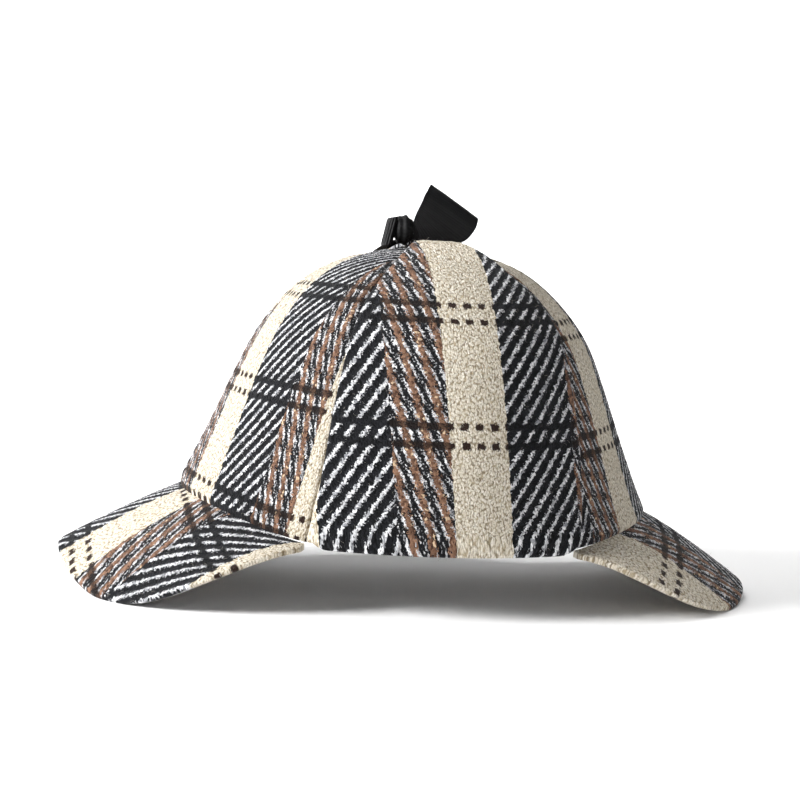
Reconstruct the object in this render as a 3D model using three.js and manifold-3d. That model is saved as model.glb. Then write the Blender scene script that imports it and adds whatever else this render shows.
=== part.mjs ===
// Deerstalker hat: six crown gores, a peak at the front and at the back, two ear flaps folded up
// and tied over the top with a ribbon bow. Millimetres, +Z up. The front peak points to -Y.
import * as THREE from 'three';
import { mergeVertices } from 'three/addons/utils/BufferGeometryUtils.js';
import Module from 'manifold-3d';

const wasm = await Module();
wasm.setup();

const rad = THREE.MathUtils.degToRad;

// Cloth and clearances
const CLOTH_WALL = 2.2; // crown: face cloth with its fused backing
const PEAK_WALL = 3.0; // peak: two cloths over a stiff board
const FLAP_WALL = 3.2; // ear flap: two cloths
const RIBBON_WALL = 0.8;
const SEAM_GAP = 0.35; // open line left between pieces that are sewn together
const PEAK_GAP = 0.9; // the same, under the crown's arched edge
const FLAP_STAND = 1.0; // air between a raised flap and the crown

// Crown: horizontal sections at equal steps from the rim to the top.
// Half-lengths of each section to the front, to the back and to the side.
const CROWN = [
  { height: 0, front: 104.5, back: 103.5, side: 82.5 },
  { height: 14, front: 99.5, back: 98, side: 82 },
  { height: 36, front: 91.5, back: 90, side: 80 },
  { height: 60, front: 83, back: 81, side: 76 },
  { height: 82, front: 73.5, back: 71, side: 68 },
  { height: 100, front: 60.5, back: 56.5, side: 56 },
  { height: 112.5, front: 43.5, back: 40, side: 40 },
  { height: 119, front: 22, back: 21.5, side: 21 },
  { height: 121, front: 0, back: 0, side: 0 },
];
const CROWN_HEIGHT = 121;
const TOP_SHIFT = 2; // the top leans this far to the back
const TOP_OPENING = 0.985; // the gores stop at this share of the way up
const SEAM_DIP = 0.7; // the crown sinks this much along each seam
const SEAM_DIP_REACH = 5; // and is full again this far from it

// Gores, by the two seams that bound them, as angles from the front centre
const GORES = [
  { name: 'crown_panel_front_left', from: 0, to: 60 },
  { name: 'crown_panel_side_left', from: 60, to: 120 },
  { name: 'crown_panel_back_left', from: 120, to: 180 },
  { name: 'crown_panel_back_right', from: 180, to: 240 },
  { name: 'crown_panel_side_right', from: 240, to: 300 },
  { name: 'crown_panel_front_right', from: 300, to: 360 },
];

// Peaks: rays from the crown's edge, at equal steps from the centre to the corner.
// Reach out from the edge, heading off the centre line, slope down, and how much the slope grows.
const PEAKS = {
  peak_front: {
    side: -1,
    corner: 60,
    rise: 13,
    rays: [
      { reach: 59.5, heading: 0, slope: 25, curl: 5 },
      { reach: 60.5, heading: 13, slope: 31, curl: 8 },
      { reach: 59.5, heading: 26, slope: 36.5, curl: 9 },
      { reach: 50, heading: 38, slope: 37, curl: 7 },
      { reach: 30.5, heading: 47, slope: 29, curl: 4 },
      { reach: 4, heading: 56, slope: 14, curl: 0 },
    ],
  },
  peak_back: {
    side: 1,
    corner: 54,
    rise: 9,
    rays: [
      { reach: 57, heading: 0, slope: 30, curl: 5 },
      { reach: 56.5, heading: 13, slope: 32, curl: 7 },
      { reach: 53.5, heading: 26, slope: 34, curl: 8 },
      { reach: 44, heading: 38, slope: 33, curl: 6 },
      { reach: 26, heading: 47, slope: 26, curl: 4 },
      { reach: 4, heading: 56, slope: 10, curl: 0 },
    ],
  },
};
const PEAK_TUCK = 2; // how far the middle of a peak reaches in under the crown's edge

// Ear flap: rows from the hem under the crown's edge, round the fold and up to the tip.
// up: share of the way up the crown. in, out: distances of the two faces from the crown, and
// inDrop, outDrop how far they hang below that height. front, back: widths off the centre line.
const FACE = FLAP_STAND + FLAP_WALL;
const FLAP = [
  { up: 0, in: -PEAK_TUCK, inDrop: 0.5, out: -PEAK_TUCK, outDrop: 2.6, front: 42, back: 54 },
  { up: 0, in: 0.8, inDrop: 0.5, out: 2.6, outDrop: 2.6, front: 45, back: 57 },
  { up: 0.012, in: FLAP_STAND, inDrop: 0, out: FACE, outDrop: 0.6, front: 50.5, back: 63 },
  { up: 0.06, in: FLAP_STAND, inDrop: 0, out: FACE, outDrop: 0, front: 51, back: 65 },
  { up: 0.15, in: FLAP_STAND, inDrop: 0, out: FACE, outDrop: 0, front: 48.5, back: 65.5 },
  { up: 0.25, in: FLAP_STAND, inDrop: 0, out: FACE, outDrop: 0, front: 46, back: 65 },
  { up: 0.35, in: FLAP_STAND, inDrop: 0, out: FACE, outDrop: 0, front: 43.5, back: 62.5 },
  { up: 0.45, in: FLAP_STAND, inDrop: 0, out: FACE, outDrop: 0, front: 40, back: 59.5 },
  { up: 0.53, in: FLAP_STAND, inDrop: 0, out: FACE, outDrop: 0, front: 36.5, back: 55 },
  { up: 0.6, in: FLAP_STAND, inDrop: 0, out: FACE, outDrop: 0, front: 32, back: 47.5 },
  { up: 0.67, in: FLAP_STAND, inDrop: 0, out: FACE, outDrop: 0, front: 26, back: 36.5 },
  { up: 0.75, in: FLAP_STAND, inDrop: 0, out: FACE, outDrop: 0, front: 19, back: 27 },
  { up: 0.83, in: FLAP_STAND, inDrop: 0, out: FACE, outDrop: 0, front: 14, back: 20 },
  { up: 0.9, in: FLAP_STAND, inDrop: 0, out: FACE, outDrop: 0, front: 10.5, back: 14 },
  { up: 0.935, in: FLAP_STAND, inDrop: 0, out: FACE, outDrop: 0, front: 6.5, back: 8 },
];

// Ribbon bow, 26 wide. Each row is one station along the ribbon: a point of one selvedge (a) and
// the point of the other across from it (b), as [x, y, z] from the crown's top.
const RIBBONS = {
  bow_loop_back: [
    { a: [-9.4, -8, 9.4], b: [-10.4, -7, 5.4] },
    { a: [-13, -6.4, 14], b: [-15, 3, 3.6] },
    { a: [-12.5, -3.6, 20.8], b: [-13.5, 15, 6] },
    { a: [-10, -1.2, 27], b: [-11, 20.4, 12.6] },
    { a: [-6.5, -1, 27.6], b: [-7, 21, 13.6] },
    { a: [-3.5, -4, 22.6], b: [-4, 19.6, 9] },
    { a: [-2.8, -5.8, 17.2], b: [-3.4, 14.6, 3.2] },
    { a: [-3.4, -7, 13.8], b: [-4.4, 4, 1.7] },
    { a: [-5, -8, 10.2], b: [-5.6, -7.6, 3] },
  ],
  bow_loop_front: [
    { a: [-5, -17.3, 0.7], b: [-5.2, -15.4, 13] },
    { a: [-3.4, -18.3, 0.3], b: [-3.8, -15.8, 12.8] },
    { a: [-3.6, -20.2, -0.1], b: [-3.8, -16.6, 12.3] },
    { a: [-6.2, -21.6, -0.3], b: [-6, -18, 11.3] },
    { a: [-9.6, -21.4, -0.3], b: [-9.2, -17.9, 11.1] },
    { a: [-12, -19.8, 0], b: [-11.6, -16.6, 11.9] },
    { a: [-11.6, -18.2, 0.4], b: [-11.4, -15.9, 12.6] },
    { a: [-9.6, -17.3, 0.8], b: [-9.8, -15.5, 12.8] },
  ],
};
const RIBBON_STEP = 1.6; // length of one facet along a ribbon

// Ribbon tails, lying down the right flap: stations from the knot, as a share of the way up the
// crown, the distance of the tail's middle from the flap's centre line, and the height over it.
const TAIL_WIDTH = 25;
const TAILS = {
  bow_tail_front: [
    { up: 0.885, across: -5, lift: 1.8, width: 8 },
    { up: 0.845, across: -6.5, lift: 0.8, width: 15 },
    { up: 0.79, across: -9, lift: 0.6, width: 20 },
    { up: 0.7, across: -13, lift: 0.6, width: TAIL_WIDTH },
    { up: 0.61, across: -16, lift: 0.8, width: TAIL_WIDTH },
    { up: 0.53, across: -18, lift: 2, width: TAIL_WIDTH },
  ],
  bow_tail_back: [
    { up: 0.885, across: 5, lift: 1.8, width: 8 },
    { up: 0.845, across: 9, lift: 0.8, width: 15 },
    { up: 0.79, across: 12.5, lift: 0.6, width: 20 },
    { up: 0.7, across: 17, lift: 0.6, width: TAIL_WIDTH },
    { up: 0.6, across: 20.5, lift: 0.9, width: TAIL_WIDTH },
    { up: 0.5, across: 23, lift: 2.4, width: TAIL_WIDTH },
  ],
};

// Knot: a rounded wrap of ribbon over the pinched middle of the bow
const KNOT = { x: -7.4, y: -12.2, z: 7.2, long: 3.6, wide: 4.6, high: 6.1 };

// The hat stands on its two peaks, whose lowest edges are pressed flat by this much
const PRESSED = 1.0;

// ---------------------------------------------------------------- curves and surfaces

// Smooth value of one column of a table whose rows are at equal steps of share 0 to 1. A mirrored
// column is level at its first row.
function along(rows, column, share, mirrored = false) {
  const last = rows.length - 1;
  const place = THREE.MathUtils.clamp(share, 0, 1) * last;
  const i = Math.min(Math.floor(place), last - 1);
  const f = place - i;
  const b = rows[i][column];
  const c = rows[i + 1][column];
  const before = mirrored ? c : 2 * b - c;
  const a = i > 0 ? rows[i - 1][column] : before;
  const d = i < last - 1 ? rows[i + 2][column] : 2 * c - b;
  const bend = (2 * a - 5 * b + 4 * c - d) * f * f + (3 * b - a - 3 * c + d) * f * f * f;
  return 0.5 * (2 * b + (c - a) * f + bend);
}

// 1 in the middle of a peak, 0 at its corners and beyond, for an angle from the front centre.
function nearness(peak, angle) {
  const facing = -peak.side * Math.cos(angle);
  const edge = Math.cos(rad(peak.corner));
  const share = THREE.MathUtils.clamp((facing - edge) / (1 - edge), 0, 1);
  return 0.6 * share + 0.4 * share * share * (3 - 2 * share);
}

// Height of the crown's lower edge, which arches up over each peak.
function rimRise(angle) {
  return Object.values(PEAKS).reduce((sum, peak) => sum + peak.rise * nearness(peak, angle), 0);
}

// The crown's outer face, at an angle from the front centre and a share of the way up.
function crownFace(angle, up) {
  const height = along(CROWN, 'height', up);
  const ahead = Math.cos(angle);
  const reach = along(CROWN, ahead > 0 ? 'front' : 'back', up);
  return new THREE.Vector3(
    along(CROWN, 'side', up) * Math.sin(angle),
    TOP_SHIFT * (height / CROWN_HEIGHT) ** 2 - reach * ahead,
    height + rimRise(angle) * (1 - height / CROWN_HEIGHT) ** 2,
  );
}

function crownNormal(angle, up) {
  const e = 1e-3;
  const across = crownFace(angle + e, up).sub(crownFace(angle - e, up));
  const rise = crownFace(angle, Math.min(up + e, 1)).sub(crownFace(angle, Math.max(up - e, 0)));
  return across.cross(rise).normalize();
}

function offCrown(angle, up, distance) {
  return crownFace(angle, up).addScaledVector(crownNormal(angle, up), distance);
}

// The angle that lies a distance along a horizontal section from another angle.
function angleAt(start, up, distance) {
  const steps = 16;
  const e = 1e-3;
  let angle = start;
  for (let i = 0; i < steps; i += 1) {
    const speed = crownFace(angle + e, up).distanceTo(crownFace(angle, up)) / e;
    angle += distance / steps / speed;
  }
  return angle;
}

// ---------------------------------------------------------------- closed sheets

// A closed body between two faces, each a function of (u, v) from 0 to 1. Seen from the top
// face's side, v runs to the left of u.
function sheet(columns, rows, top, under) {
  const positions = [];
  const indices = [];
  const stride = (columns + 1) * 2;
  const at = (i, j, side) => j * stride + i * 2 + side;
  for (let j = 0; j <= rows; j += 1) {
    for (let i = 0; i <= columns; i += 1) {
      positions.push(...top(i / columns, j / rows), ...under(i / columns, j / rows));
    }
  }
  const quad = (a, b, c, d) => indices.push(a, b, c, a, c, d);
  for (let j = 0; j < rows; j += 1) {
    for (let i = 0; i < columns; i += 1) {
      quad(at(i, j, 0), at(i + 1, j, 0), at(i + 1, j + 1, 0), at(i, j + 1, 0));
      quad(at(i, j, 1), at(i, j + 1, 1), at(i + 1, j + 1, 1), at(i + 1, j, 1));
    }
    quad(at(0, j, 0), at(0, j + 1, 0), at(0, j + 1, 1), at(0, j, 1));
    quad(at(columns, j, 0), at(columns, j, 1), at(columns, j + 1, 1), at(columns, j + 1, 0));
  }
  for (let i = 0; i < columns; i += 1) {
    quad(at(i, 0, 0), at(i, 0, 1), at(i + 1, 0, 1), at(i + 1, 0, 0));
    quad(at(i, rows, 0), at(i + 1, rows, 0), at(i + 1, rows, 1), at(i, rows, 1));
  }
  const geometry = new THREE.BufferGeometry();
  geometry.setAttribute('position', new THREE.Float32BufferAttribute(positions, 3));
  geometry.setIndex(indices);
  return geometry;
}

// ---------------------------------------------------------------- pieces

// One value of a peak's rays, from its centre line at share 0 to its corner at 1.
function rayValue(peak, column, share) {
  return along(peak.rays, column, share, column !== 'heading');
}

// How far a peak reaches in under the crown, which fades out at its corners.
function tuck(share) {
  return PEAK_TUCK * (1 - share ** 4);
}

// Drop of the crown's outer edge over a peak, so that it follows the peak's slope.
function lip(angle) {
  return Object.values(PEAKS).reduce((sum, peak) => {
    const share = Math.acos(-peak.side * Math.cos(angle)) / rad(peak.corner);
    if (share >= 1) return sum;
    const slope = rayValue(peak, 'slope', share) - rayValue(peak, 'curl', share) / 2;
    return sum + tuck(share) * Math.sin(rad(slope));
  }, 0);
}

function goreGeometry(gore) {
  const columns = 8;
  const rows = 13;
  const ring = (u, v) => {
    const up = v * TOP_OPENING;
    const from = angleAt(rad(gore.from), up, SEAM_GAP / 2);
    const to = angleAt(rad(gore.to), up, -SEAM_GAP / 2);
    // columns crowd towards the seams, where the face dips
    const spread = u + Math.sin(2 * Math.PI * u) * -0.07;
    const angle = from + (to - from) * spread;
    const width = crownFace(from, up).distanceTo(crownFace(to, up));
    const toSeam = Math.min(spread, 1 - spread) * width;
    const dip = SEAM_DIP * Math.max(0, 1 - toSeam / SEAM_DIP_REACH) ** 2;
    return { angle, up, dip };
  };
  const outer = (u, v) => {
    const { angle, up, dip } = ring(u, v);
    const point = offCrown(angle, up, -dip);
    if (v === 0) point.z -= lip(angle);
    return point;
  };
  const inner = (u, v) => {
    const { angle, up } = ring(u, v);
    const point = offCrown(angle, up, -CLOTH_WALL);
    if (v === 0) point.z = crownFace(angle, 0).z;
    return point;
  };
  return sheet(columns, rows, outer, inner);
}

// A peak's upper face. across: -1 to 1 from corner to corner. out: 0 at the crown, 1 at the edge;
// below 0 it runs in under the crown.
function peakFace(peak, across, out) {
  const share = Math.abs(across);
  const ray = (column) => rayValue(peak, column, share);
  const turn = rad(peak.corner) * across;
  const angle = peak.side < 0 ? turn : Math.PI - turn;
  const start = crownFace(angle, 0);
  const length = out < 0 ? out * tuck(share) : out * ray('reach');
  const slope = rad(ray('slope') + ray('curl') * (Math.max(out, 0) - 0.5));
  const heading = rad(ray('heading')) * Math.sign(across);
  const away = length * Math.cos(slope);
  return new THREE.Vector3(
    start.x + away * Math.sin(heading),
    start.y + peak.side * away * Math.cos(heading),
    start.z - lip(angle) - PEAK_GAP - length * Math.sin(slope),
  );
}

function peakGeometry(peak) {
  const columns = 24;
  const rows = 6;
  const e = 1e-3;
  const face = (u, v) => {
    const across = (2 * u - 1) * peak.side;
    // the first row is the tuck under the crown
    const out = v * rows < 1 ? v * rows - 1 : (v * rows - 1) / (rows - 1);
    return [across, out];
  };
  const top = (u, v) => peakFace(peak, ...face(u, v));
  const under = (u, v) => {
    const [across, out] = face(u, v);
    const near = Math.sign(across || 1);
    const beside = peakFace(peak, across - near * e, out).sub(peakFace(peak, across, out));
    const beyond = peakFace(peak, across, out + e).sub(peakFace(peak, across, out));
    const normal = beside.cross(beyond).normalize();
    if (normal.z > 0) normal.negate();
    return peakFace(peak, across, out).addScaledVector(normal, PEAK_WALL);
  };
  return sheet(columns, rows, top, under);
}

// side: 1 for the left ear, -1 for the right ear
function flapGeometry(side) {
  const columns = 14;
  const rows = FLAP.length - 1;
  const place = (u, v, faceKey, dropKey) => {
    const row = FLAP[Math.round(v * rows)];
    const across = THREE.MathUtils.lerp(-row.front, row.back, side > 0 ? u : 1 - u);
    const angle = angleAt(Math.PI / 2, row.up, across);
    const point = offCrown(angle, row.up, row[faceKey]);
    point.z -= row[dropKey];
    point.x *= side;
    return point;
  };
  const outer = (u, v) => place(u, v, 'out', 'outDrop');
  const inner = (u, v) => place(u, v, 'in', 'inDrop');
  return sheet(columns, rows, outer, inner);
}

// A ribbon between two selvedge curves. Its faces lie half a wall to each side of the ruled sheet.
function ribbonGeometry(stations) {
  const edges = ['a', 'b'].map((key) => new THREE.CatmullRomCurve3(
    stations.map((station) => new THREE.Vector3(...station[key])),
    false,
    'centripetal',
  ));
  const rows = Math.round(edges[0].getLength() / RIBBON_STEP);
  const columns = 4;
  const e = 1e-3;
  const middle = (u, v) => edges[0].getPoint(v).lerp(edges[1].getPoint(v), u);
  const face = (side) => (u, v) => {
    const across = edges[1].getPoint(v).sub(edges[0].getPoint(v));
    const onward = middle(u, Math.min(v + e, 1)).sub(middle(u, Math.max(v - e, 0)));
    const normal = across.cross(onward).normalize();
    return middle(u, v).addScaledVector(normal, side * RIBBON_WALL / 2);
  };
  return sheet(columns, rows, face(1), face(-1));
}

// A tail of the bow, lying over the right flap with its end free.
function tailGeometry(stations) {
  const rows = 14;
  const columns = 6;
  const surface = (lift) => (u, v) => {
    const up = along(stations, 'up', v);
    const across = along(stations, 'across', v) + (u - 0.5) * along(stations, 'width', v);
    const height = FACE + along(stations, 'lift', v) + lift;
    const point = offCrown(angleAt(Math.PI / 2, up, across), up, height);
    point.x *= -1;
    return point;
  };
  return sheet(columns, rows, surface(RIBBON_WALL), surface(0));
}

function knotGeometry() {
  const wrap = new THREE.SphereGeometry(1, 16, 10);
  wrap.scale(KNOT.wide, KNOT.long, KNOT.high);
  return wrap;
}

// ---------------------------------------------------------------- solids cut flat where they rest

function toSolid(geometry) {
  const plain = geometry.clone();
  plain.deleteAttribute('normal');
  plain.deleteAttribute('uv');
  const merged = mergeVertices(plain, 1e-4);
  return new wasm.Manifold(new wasm.Mesh({
    numProp: 3,
    vertProperties: new Float32Array(merged.attributes.position.array),
    triVerts: new Uint32Array(merged.index.array),
  }));
}

function toGeometry(solid) {
  const mesh = solid.getMesh();
  const geometry = new THREE.BufferGeometry();
  geometry.setAttribute('position', new THREE.BufferAttribute(mesh.vertProperties, 3));
  geometry.setIndex(new THREE.BufferAttribute(mesh.triVerts, 1));
  return geometry;
}

// ---------------------------------------------------------------- the hat

const tweed = new THREE.MeshStandardMaterial({ color: '#97928a', roughness: 0.95, metalness: 0 });
const flapTweed = new THREE.MeshStandardMaterial({ color: '#8f8a83', roughness: 0.95, metalness: 0 });
const peakTweed = new THREE.MeshStandardMaterial({ color: '#a39d93', roughness: 0.95, metalness: 0 });
const grosgrain = new THREE.MeshStandardMaterial({ color: '#101012', roughness: 0.6, metalness: 0 });

const hat = new THREE.Group();

// Turns and lifts the hat until the lowest points of both peaks are PRESSED under the floor.
function settle(group, supports) {
  const lowest = (geometry) => {
    const points = geometry.attributes.position;
    const best = new THREE.Vector3(0, 0, Infinity);
    const point = new THREE.Vector3();
    for (let i = 0; i < points.count; i += 1) {
      point.fromBufferAttribute(points, i).applyMatrix4(group.matrix);
      if (point.z < best.z) best.copy(point);
    }
    return best;
  };
  const rounds = 8;
  for (let i = 0; i < rounds; i += 1) {
    group.updateMatrix();
    const [front, back] = supports.map(lowest);
    group.rotation.x -= (back.z - front.z) / (back.y - front.y);
    group.updateMatrix();
    group.position.z -= Math.min(...supports.map((geometry) => lowest(geometry).z)) + PRESSED;
  }
  group.updateMatrix();
}

function add(name, geometry, material) {
  const mesh = new THREE.Mesh(geometry, material);
  mesh.name = name;
  hat.add(mesh);
  return mesh;
}

GORES.forEach((gore) => add(gore.name, goreGeometry(gore), tweed));

// The surface the hat stands on, as a slab in the hat's own leaning frame, presses the peaks flat.
const peaks = Object.values(PEAKS).map(peakGeometry);
settle(hat, peaks);
const SLAB = 500;
const slab = new THREE.BoxGeometry(SLAB, SLAB, SLAB);
slab.translate(0, 0, -SLAB / 2);
slab.applyMatrix4(hat.matrix.clone().invert());
Object.keys(PEAKS).forEach((name, i) => {
  add(name, toGeometry(toSolid(peaks[i]).subtract(toSolid(slab))), peakTweed);
});

add('ear_flap_left', flapGeometry(1), flapTweed);
add('ear_flap_right', flapGeometry(-1), flapTweed);

Object.entries(RIBBONS).forEach(([name, stations]) => {
  add(name, ribbonGeometry(stations), grosgrain).position.set(0, TOP_SHIFT, CROWN_HEIGHT);
});
Object.entries(TAILS).forEach(([name, stations]) => {
  add(name, tailGeometry(stations), grosgrain);
});
add('bow_knot', knotGeometry(), grosgrain)
  .position.set(KNOT.x, TOP_SHIFT + KNOT.y, CROWN_HEIGHT + KNOT.z);

// The finished part: the hat on its two peaks, over the middle of its own outline.
const part = new THREE.Group();
part.add(hat);
part.updateMatrixWorld(true);
const outline = new THREE.Box3().setFromObject(part, true);
part.position.x = -(outline.min.x + outline.max.x) / 2;
part.position.y = -(outline.min.y + outline.max.y) / 2;

export default part;
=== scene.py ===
"""Deerstalker hat of plaid wool tweed, standing on its two peaks with the ear flaps tied up over the crown.

The hat is laid out in millimetres in its own frame, front peak to -Y and the wearer's left ear to +X,
and every point is put into the shared frame, in metres, as its mesh is made.
"""

import math

import bpy
import numpy as np
from mathutils import Matrix, Vector


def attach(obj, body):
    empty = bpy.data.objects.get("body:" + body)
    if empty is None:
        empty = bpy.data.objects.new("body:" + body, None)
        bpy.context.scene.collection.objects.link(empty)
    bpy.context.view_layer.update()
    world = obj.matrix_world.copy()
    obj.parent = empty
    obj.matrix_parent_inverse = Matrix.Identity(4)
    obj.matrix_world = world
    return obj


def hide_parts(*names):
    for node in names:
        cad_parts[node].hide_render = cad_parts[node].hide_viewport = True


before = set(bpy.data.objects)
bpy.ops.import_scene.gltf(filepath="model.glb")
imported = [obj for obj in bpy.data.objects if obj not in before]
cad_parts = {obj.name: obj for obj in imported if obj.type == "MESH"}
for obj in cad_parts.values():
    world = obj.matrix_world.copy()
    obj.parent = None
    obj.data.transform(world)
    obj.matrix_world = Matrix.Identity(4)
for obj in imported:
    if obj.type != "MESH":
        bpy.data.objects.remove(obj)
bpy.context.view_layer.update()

# ================================================================ studio
# The hat is looked at from its left side, a little in front of the ear and just above the rim, on a
# seamless pale sweep. A broad soft light stands ahead of the front peak, a weak one hangs above it and
# a third lights the wall beyond the hat.

CAMERA_AZIMUTH = 84.13  # degrees from straight ahead of the front peak, towards the left ear
CAMERA_HEIGHT = 5.74  # degrees above level
CAMERA_LEAN = 2.455  # degrees that the view leans to one side
CAMERA_DISTANCE = 0.9
CAMERA_TARGET = Vector((0, -0.00505, 0.08226))
LENS = 91.0

azimuth, height, lean = (math.radians(a) for a in (CAMERA_AZIMUTH, CAMERA_HEIGHT, CAMERA_LEAN))
back = Vector((math.sin(azimuth) * math.cos(height), -math.cos(azimuth) * math.cos(height), math.sin(height)))
level = Vector((0, 0, 1)).cross(back).normalized()
upright = back.cross(level)
right = level * math.cos(lean) + upright * math.sin(lean)
up = upright * math.cos(lean) - level * math.sin(lean)

camera = bpy.data.objects.new("camera", bpy.data.cameras.new("camera"))
camera.data.lens = LENS
camera.data.sensor_width = 36
camera.data.clip_start = 0.02
camera.matrix_world = Matrix((right, up, back)).transposed().to_4x4()
camera.matrix_world.translation = CAMERA_TARGET + back * CAMERA_DISTANCE
bpy.context.collection.objects.link(camera)
bpy.context.scene.camera = camera
bpy.context.scene.view_settings.view_transform = "Standard"


def linear(colour):
    """A colour written as sRGB hex, as linear RGBA."""
    parts = [int(colour[i : i + 2], 16) / 255 for i in (1, 3, 5)]
    return (*(c / 12.92 if c <= 0.04045 else ((c + 0.055) / 1.055) ** 2.4 for c in parts), 1)


def add(tree, label, kind, *inputs, **named):
    """Adds a node. Its inputs go by place or by name, and its other settings by name. A text input
    is an earlier node's label, with the output's name after a colon where it isn't the first."""
    made = tree.nodes.new(kind)
    made.name = made.label = label
    for key, value in [*named.items(), *enumerate(inputs)]:
        place = key.replace("_", " ") if isinstance(key, str) else key
        if isinstance(key, str) and place not in made.inputs:
            setattr(made, key, value)
        elif isinstance(value, str):
            source, _, output = value.partition(":")
            tree.links.new(tree.nodes[source].outputs[output or 0], made.inputs[place])
        elif value is not None:
            made.inputs[place].default_value = value
    return made


def empty_material(name):
    """A new material with no nodes yet."""
    material = bpy.data.materials.new(name)
    material.use_nodes = True
    material.node_tree.nodes.clear()
    return material


# Painted card: matt, a trace of mottling, so that the floor is plain but not a flat fill.
sweep_card = empty_material("painted card sweep")
tree = sweep_card.node_tree
add(tree, "place", "ShaderNodeTexCoord")
add(tree, "mottle", "ShaderNodeTexNoise", "place:Object", Scale=9, Detail=3)
add(tree, "paint", "ShaderNodeMixRGB", "mottle", linear("#f6f6f6"), linear("#fbfbfb"))
add(tree, "card", "ShaderNodeBsdfPrincipled", "paint", Roughness=0.9)
add(tree, "out", "ShaderNodeOutputMaterial", "card")

# the sweep is a round one: a flat floor that curves up into a low wall, alike on every side
FLOOR_RADIUS = 1.9
SWEEP_RADIUS = 0.9
WALL_TOP = 1.7
turn = np.linspace(0, math.pi / 2, 13)
profile = [(0.001, 0), *zip(FLOOR_RADIUS + SWEEP_RADIUS * np.sin(turn), SWEEP_RADIUS * (1 - np.cos(turn)))]
profile.append((FLOOR_RADIUS + SWEEP_RADIUS, WALL_TOP))
around = np.linspace(0, 2 * math.pi, 96, endpoint=False)
rings = [[(r * math.cos(a), r * math.sin(a), z) for a in around] for r, z in profile]
faces = [tuple(range(96))]
for i in range(len(rings) - 1):
    for k in range(96):
        n = (k + 1) % 96
        faces.append((i * 96 + k, (i + 1) * 96 + k, (i + 1) * 96 + n, i * 96 + n))
floor_mesh = bpy.data.meshes.new("floor")
floor_mesh.from_pydata([point for ring in rings for point in ring], [], faces)
floor_mesh.polygons.foreach_set("use_smooth", np.ones(len(floor_mesh.polygons), bool))
floor_mesh.materials.append(sweep_card)
floor = bpy.data.objects.new("floor", floor_mesh)
bpy.context.collection.objects.link(floor)

room = bpy.data.worlds.new("white room")
room.use_nodes = True
room.node_tree.nodes["Background"].inputs["Color"].default_value = (1, 1, 1, 1)
room.node_tree.nodes["Background"].inputs["Strength"].default_value = 0.06
bpy.context.scene.world = room

# name, where it stands, what it faces, how wide it is, its power
LIGHTS = [
    ("window light ahead", (0.45, -1.55, 0.85), (0, 0, 0.08), 0.7, 64),
    ("top light", (0.1, -0.9, 2.2), (0, 0, 0.08), 1.0, 10),
    ("far wall light", (-1.3, 0, 1.9), (-2.8, 0, 0.5), 2.2, 95),
]
for name, place, facing, width, power in LIGHTS:
    light = bpy.data.lights.new(name, "AREA")
    light.shape = "DISK"
    light.size = width
    light.energy = power
    lamp = bpy.data.objects.new(name, light)
    lamp.location = place
    lamp.rotation_euler = (Vector(place) - Vector(facing)).to_track_quat("Z", "Y").to_euler()
    bpy.context.collection.objects.link(lamp)


# ================================================================ crown
# Six gores of thick brushed tweed are cut with the stripes upright, sewn edge to edge into a dome and
# pressed open, so each seam lies in a soft furrow and the plaid jumps across it.

# half-lengths of the crown's horizontal sections, at equal steps from the rim to the top
CROWN = {
    "height": (0, 14, 36, 60, 82, 100, 112.5, 119, 121),
    "front": (104.5, 99.5, 91.5, 83, 73.5, 60.5, 43.5, 22, 0),
    "back": (103.5, 98, 90, 81, 71, 56.5, 40, 21.5, 0),
    "side": (82.5, 82, 80, 76, 68, 56, 40, 21, 0),
}
CROWN_HEIGHT = 121
TOP_SHIFT = 2
CLOTH_WALL = 2.2

# peaks: values at equal steps from the centre line to the corner
PEAKS = {
    "peak_front": {
        "side": -1, "corner": 60, "rise": 13,
        "reach": (59.5, 60.5, 59.5, 50, 30.5, 4),
        "heading": (0, 13, 26, 38, 47, 56),
        "slope": (25, 31, 36.5, 37, 29, 14),
        "curl": (5, 8, 9, 7, 4, 0),
    },
    "peak_back": {
        "side": 1, "corner": 54, "rise": 9,
        "reach": (57, 56.5, 53.5, 44, 26, 4),
        "heading": (0, 13, 26, 38, 47, 56),
        "slope": (30, 32, 34, 33, 26, 10),
        "curl": (5, 7, 8, 6, 4, 0),
    },
}
PEAK_TUCK = 2

# how the hat stands on its peaks
LEAN = math.radians(-0.50514)
LIFT = 29.4924
SHIFT = 3.0263


def along(values, share, level_start=False):
    """Smooth value at a share from 0 to 1 of the way through values at equal steps."""
    first = values[1] if level_start else 2 * values[0] - values[1]
    full = np.array([first, *values, 2 * values[-1] - values[-2]], float)
    place = np.clip(share, 0, 1) * (len(values) - 1)
    i = np.minimum(np.floor(place).astype(int), len(values) - 2)
    f = place - i
    a, b, c, d = (full[i + k] for k in range(4))
    return 0.5 * (2 * b + (c - a) * f + (2 * a - 5 * b + 4 * c - d) * f**2 + (3 * b - a - 3 * c + d) * f**3)


def rim_rise(angle):
    """How far the crown's lower edge arches up over the peaks."""
    total = 0
    for peak in PEAKS.values():
        edge = math.cos(math.radians(peak["corner"]))
        share = np.clip((-peak["side"] * np.cos(angle) - edge) / (1 - edge), 0, 1)
        total = total + peak["rise"] * (0.6 * share + 0.4 * share**2 * (3 - 2 * share))
    return total


def crown_face(angle, up):
    """The crown's outer face, at an angle from the front centre and a share of the way up."""
    high = along(CROWN["height"], up)
    ahead = np.cos(angle)
    reach = np.where(ahead > 0, along(CROWN["front"], up), along(CROWN["back"], up))
    return np.stack([
        along(CROWN["side"], up) * np.sin(angle),
        TOP_SHIFT * (high / CROWN_HEIGHT) ** 2 - reach * ahead,
        high + rim_rise(angle) * (1 - high / CROWN_HEIGHT) ** 2,
    ], -1)


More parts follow.
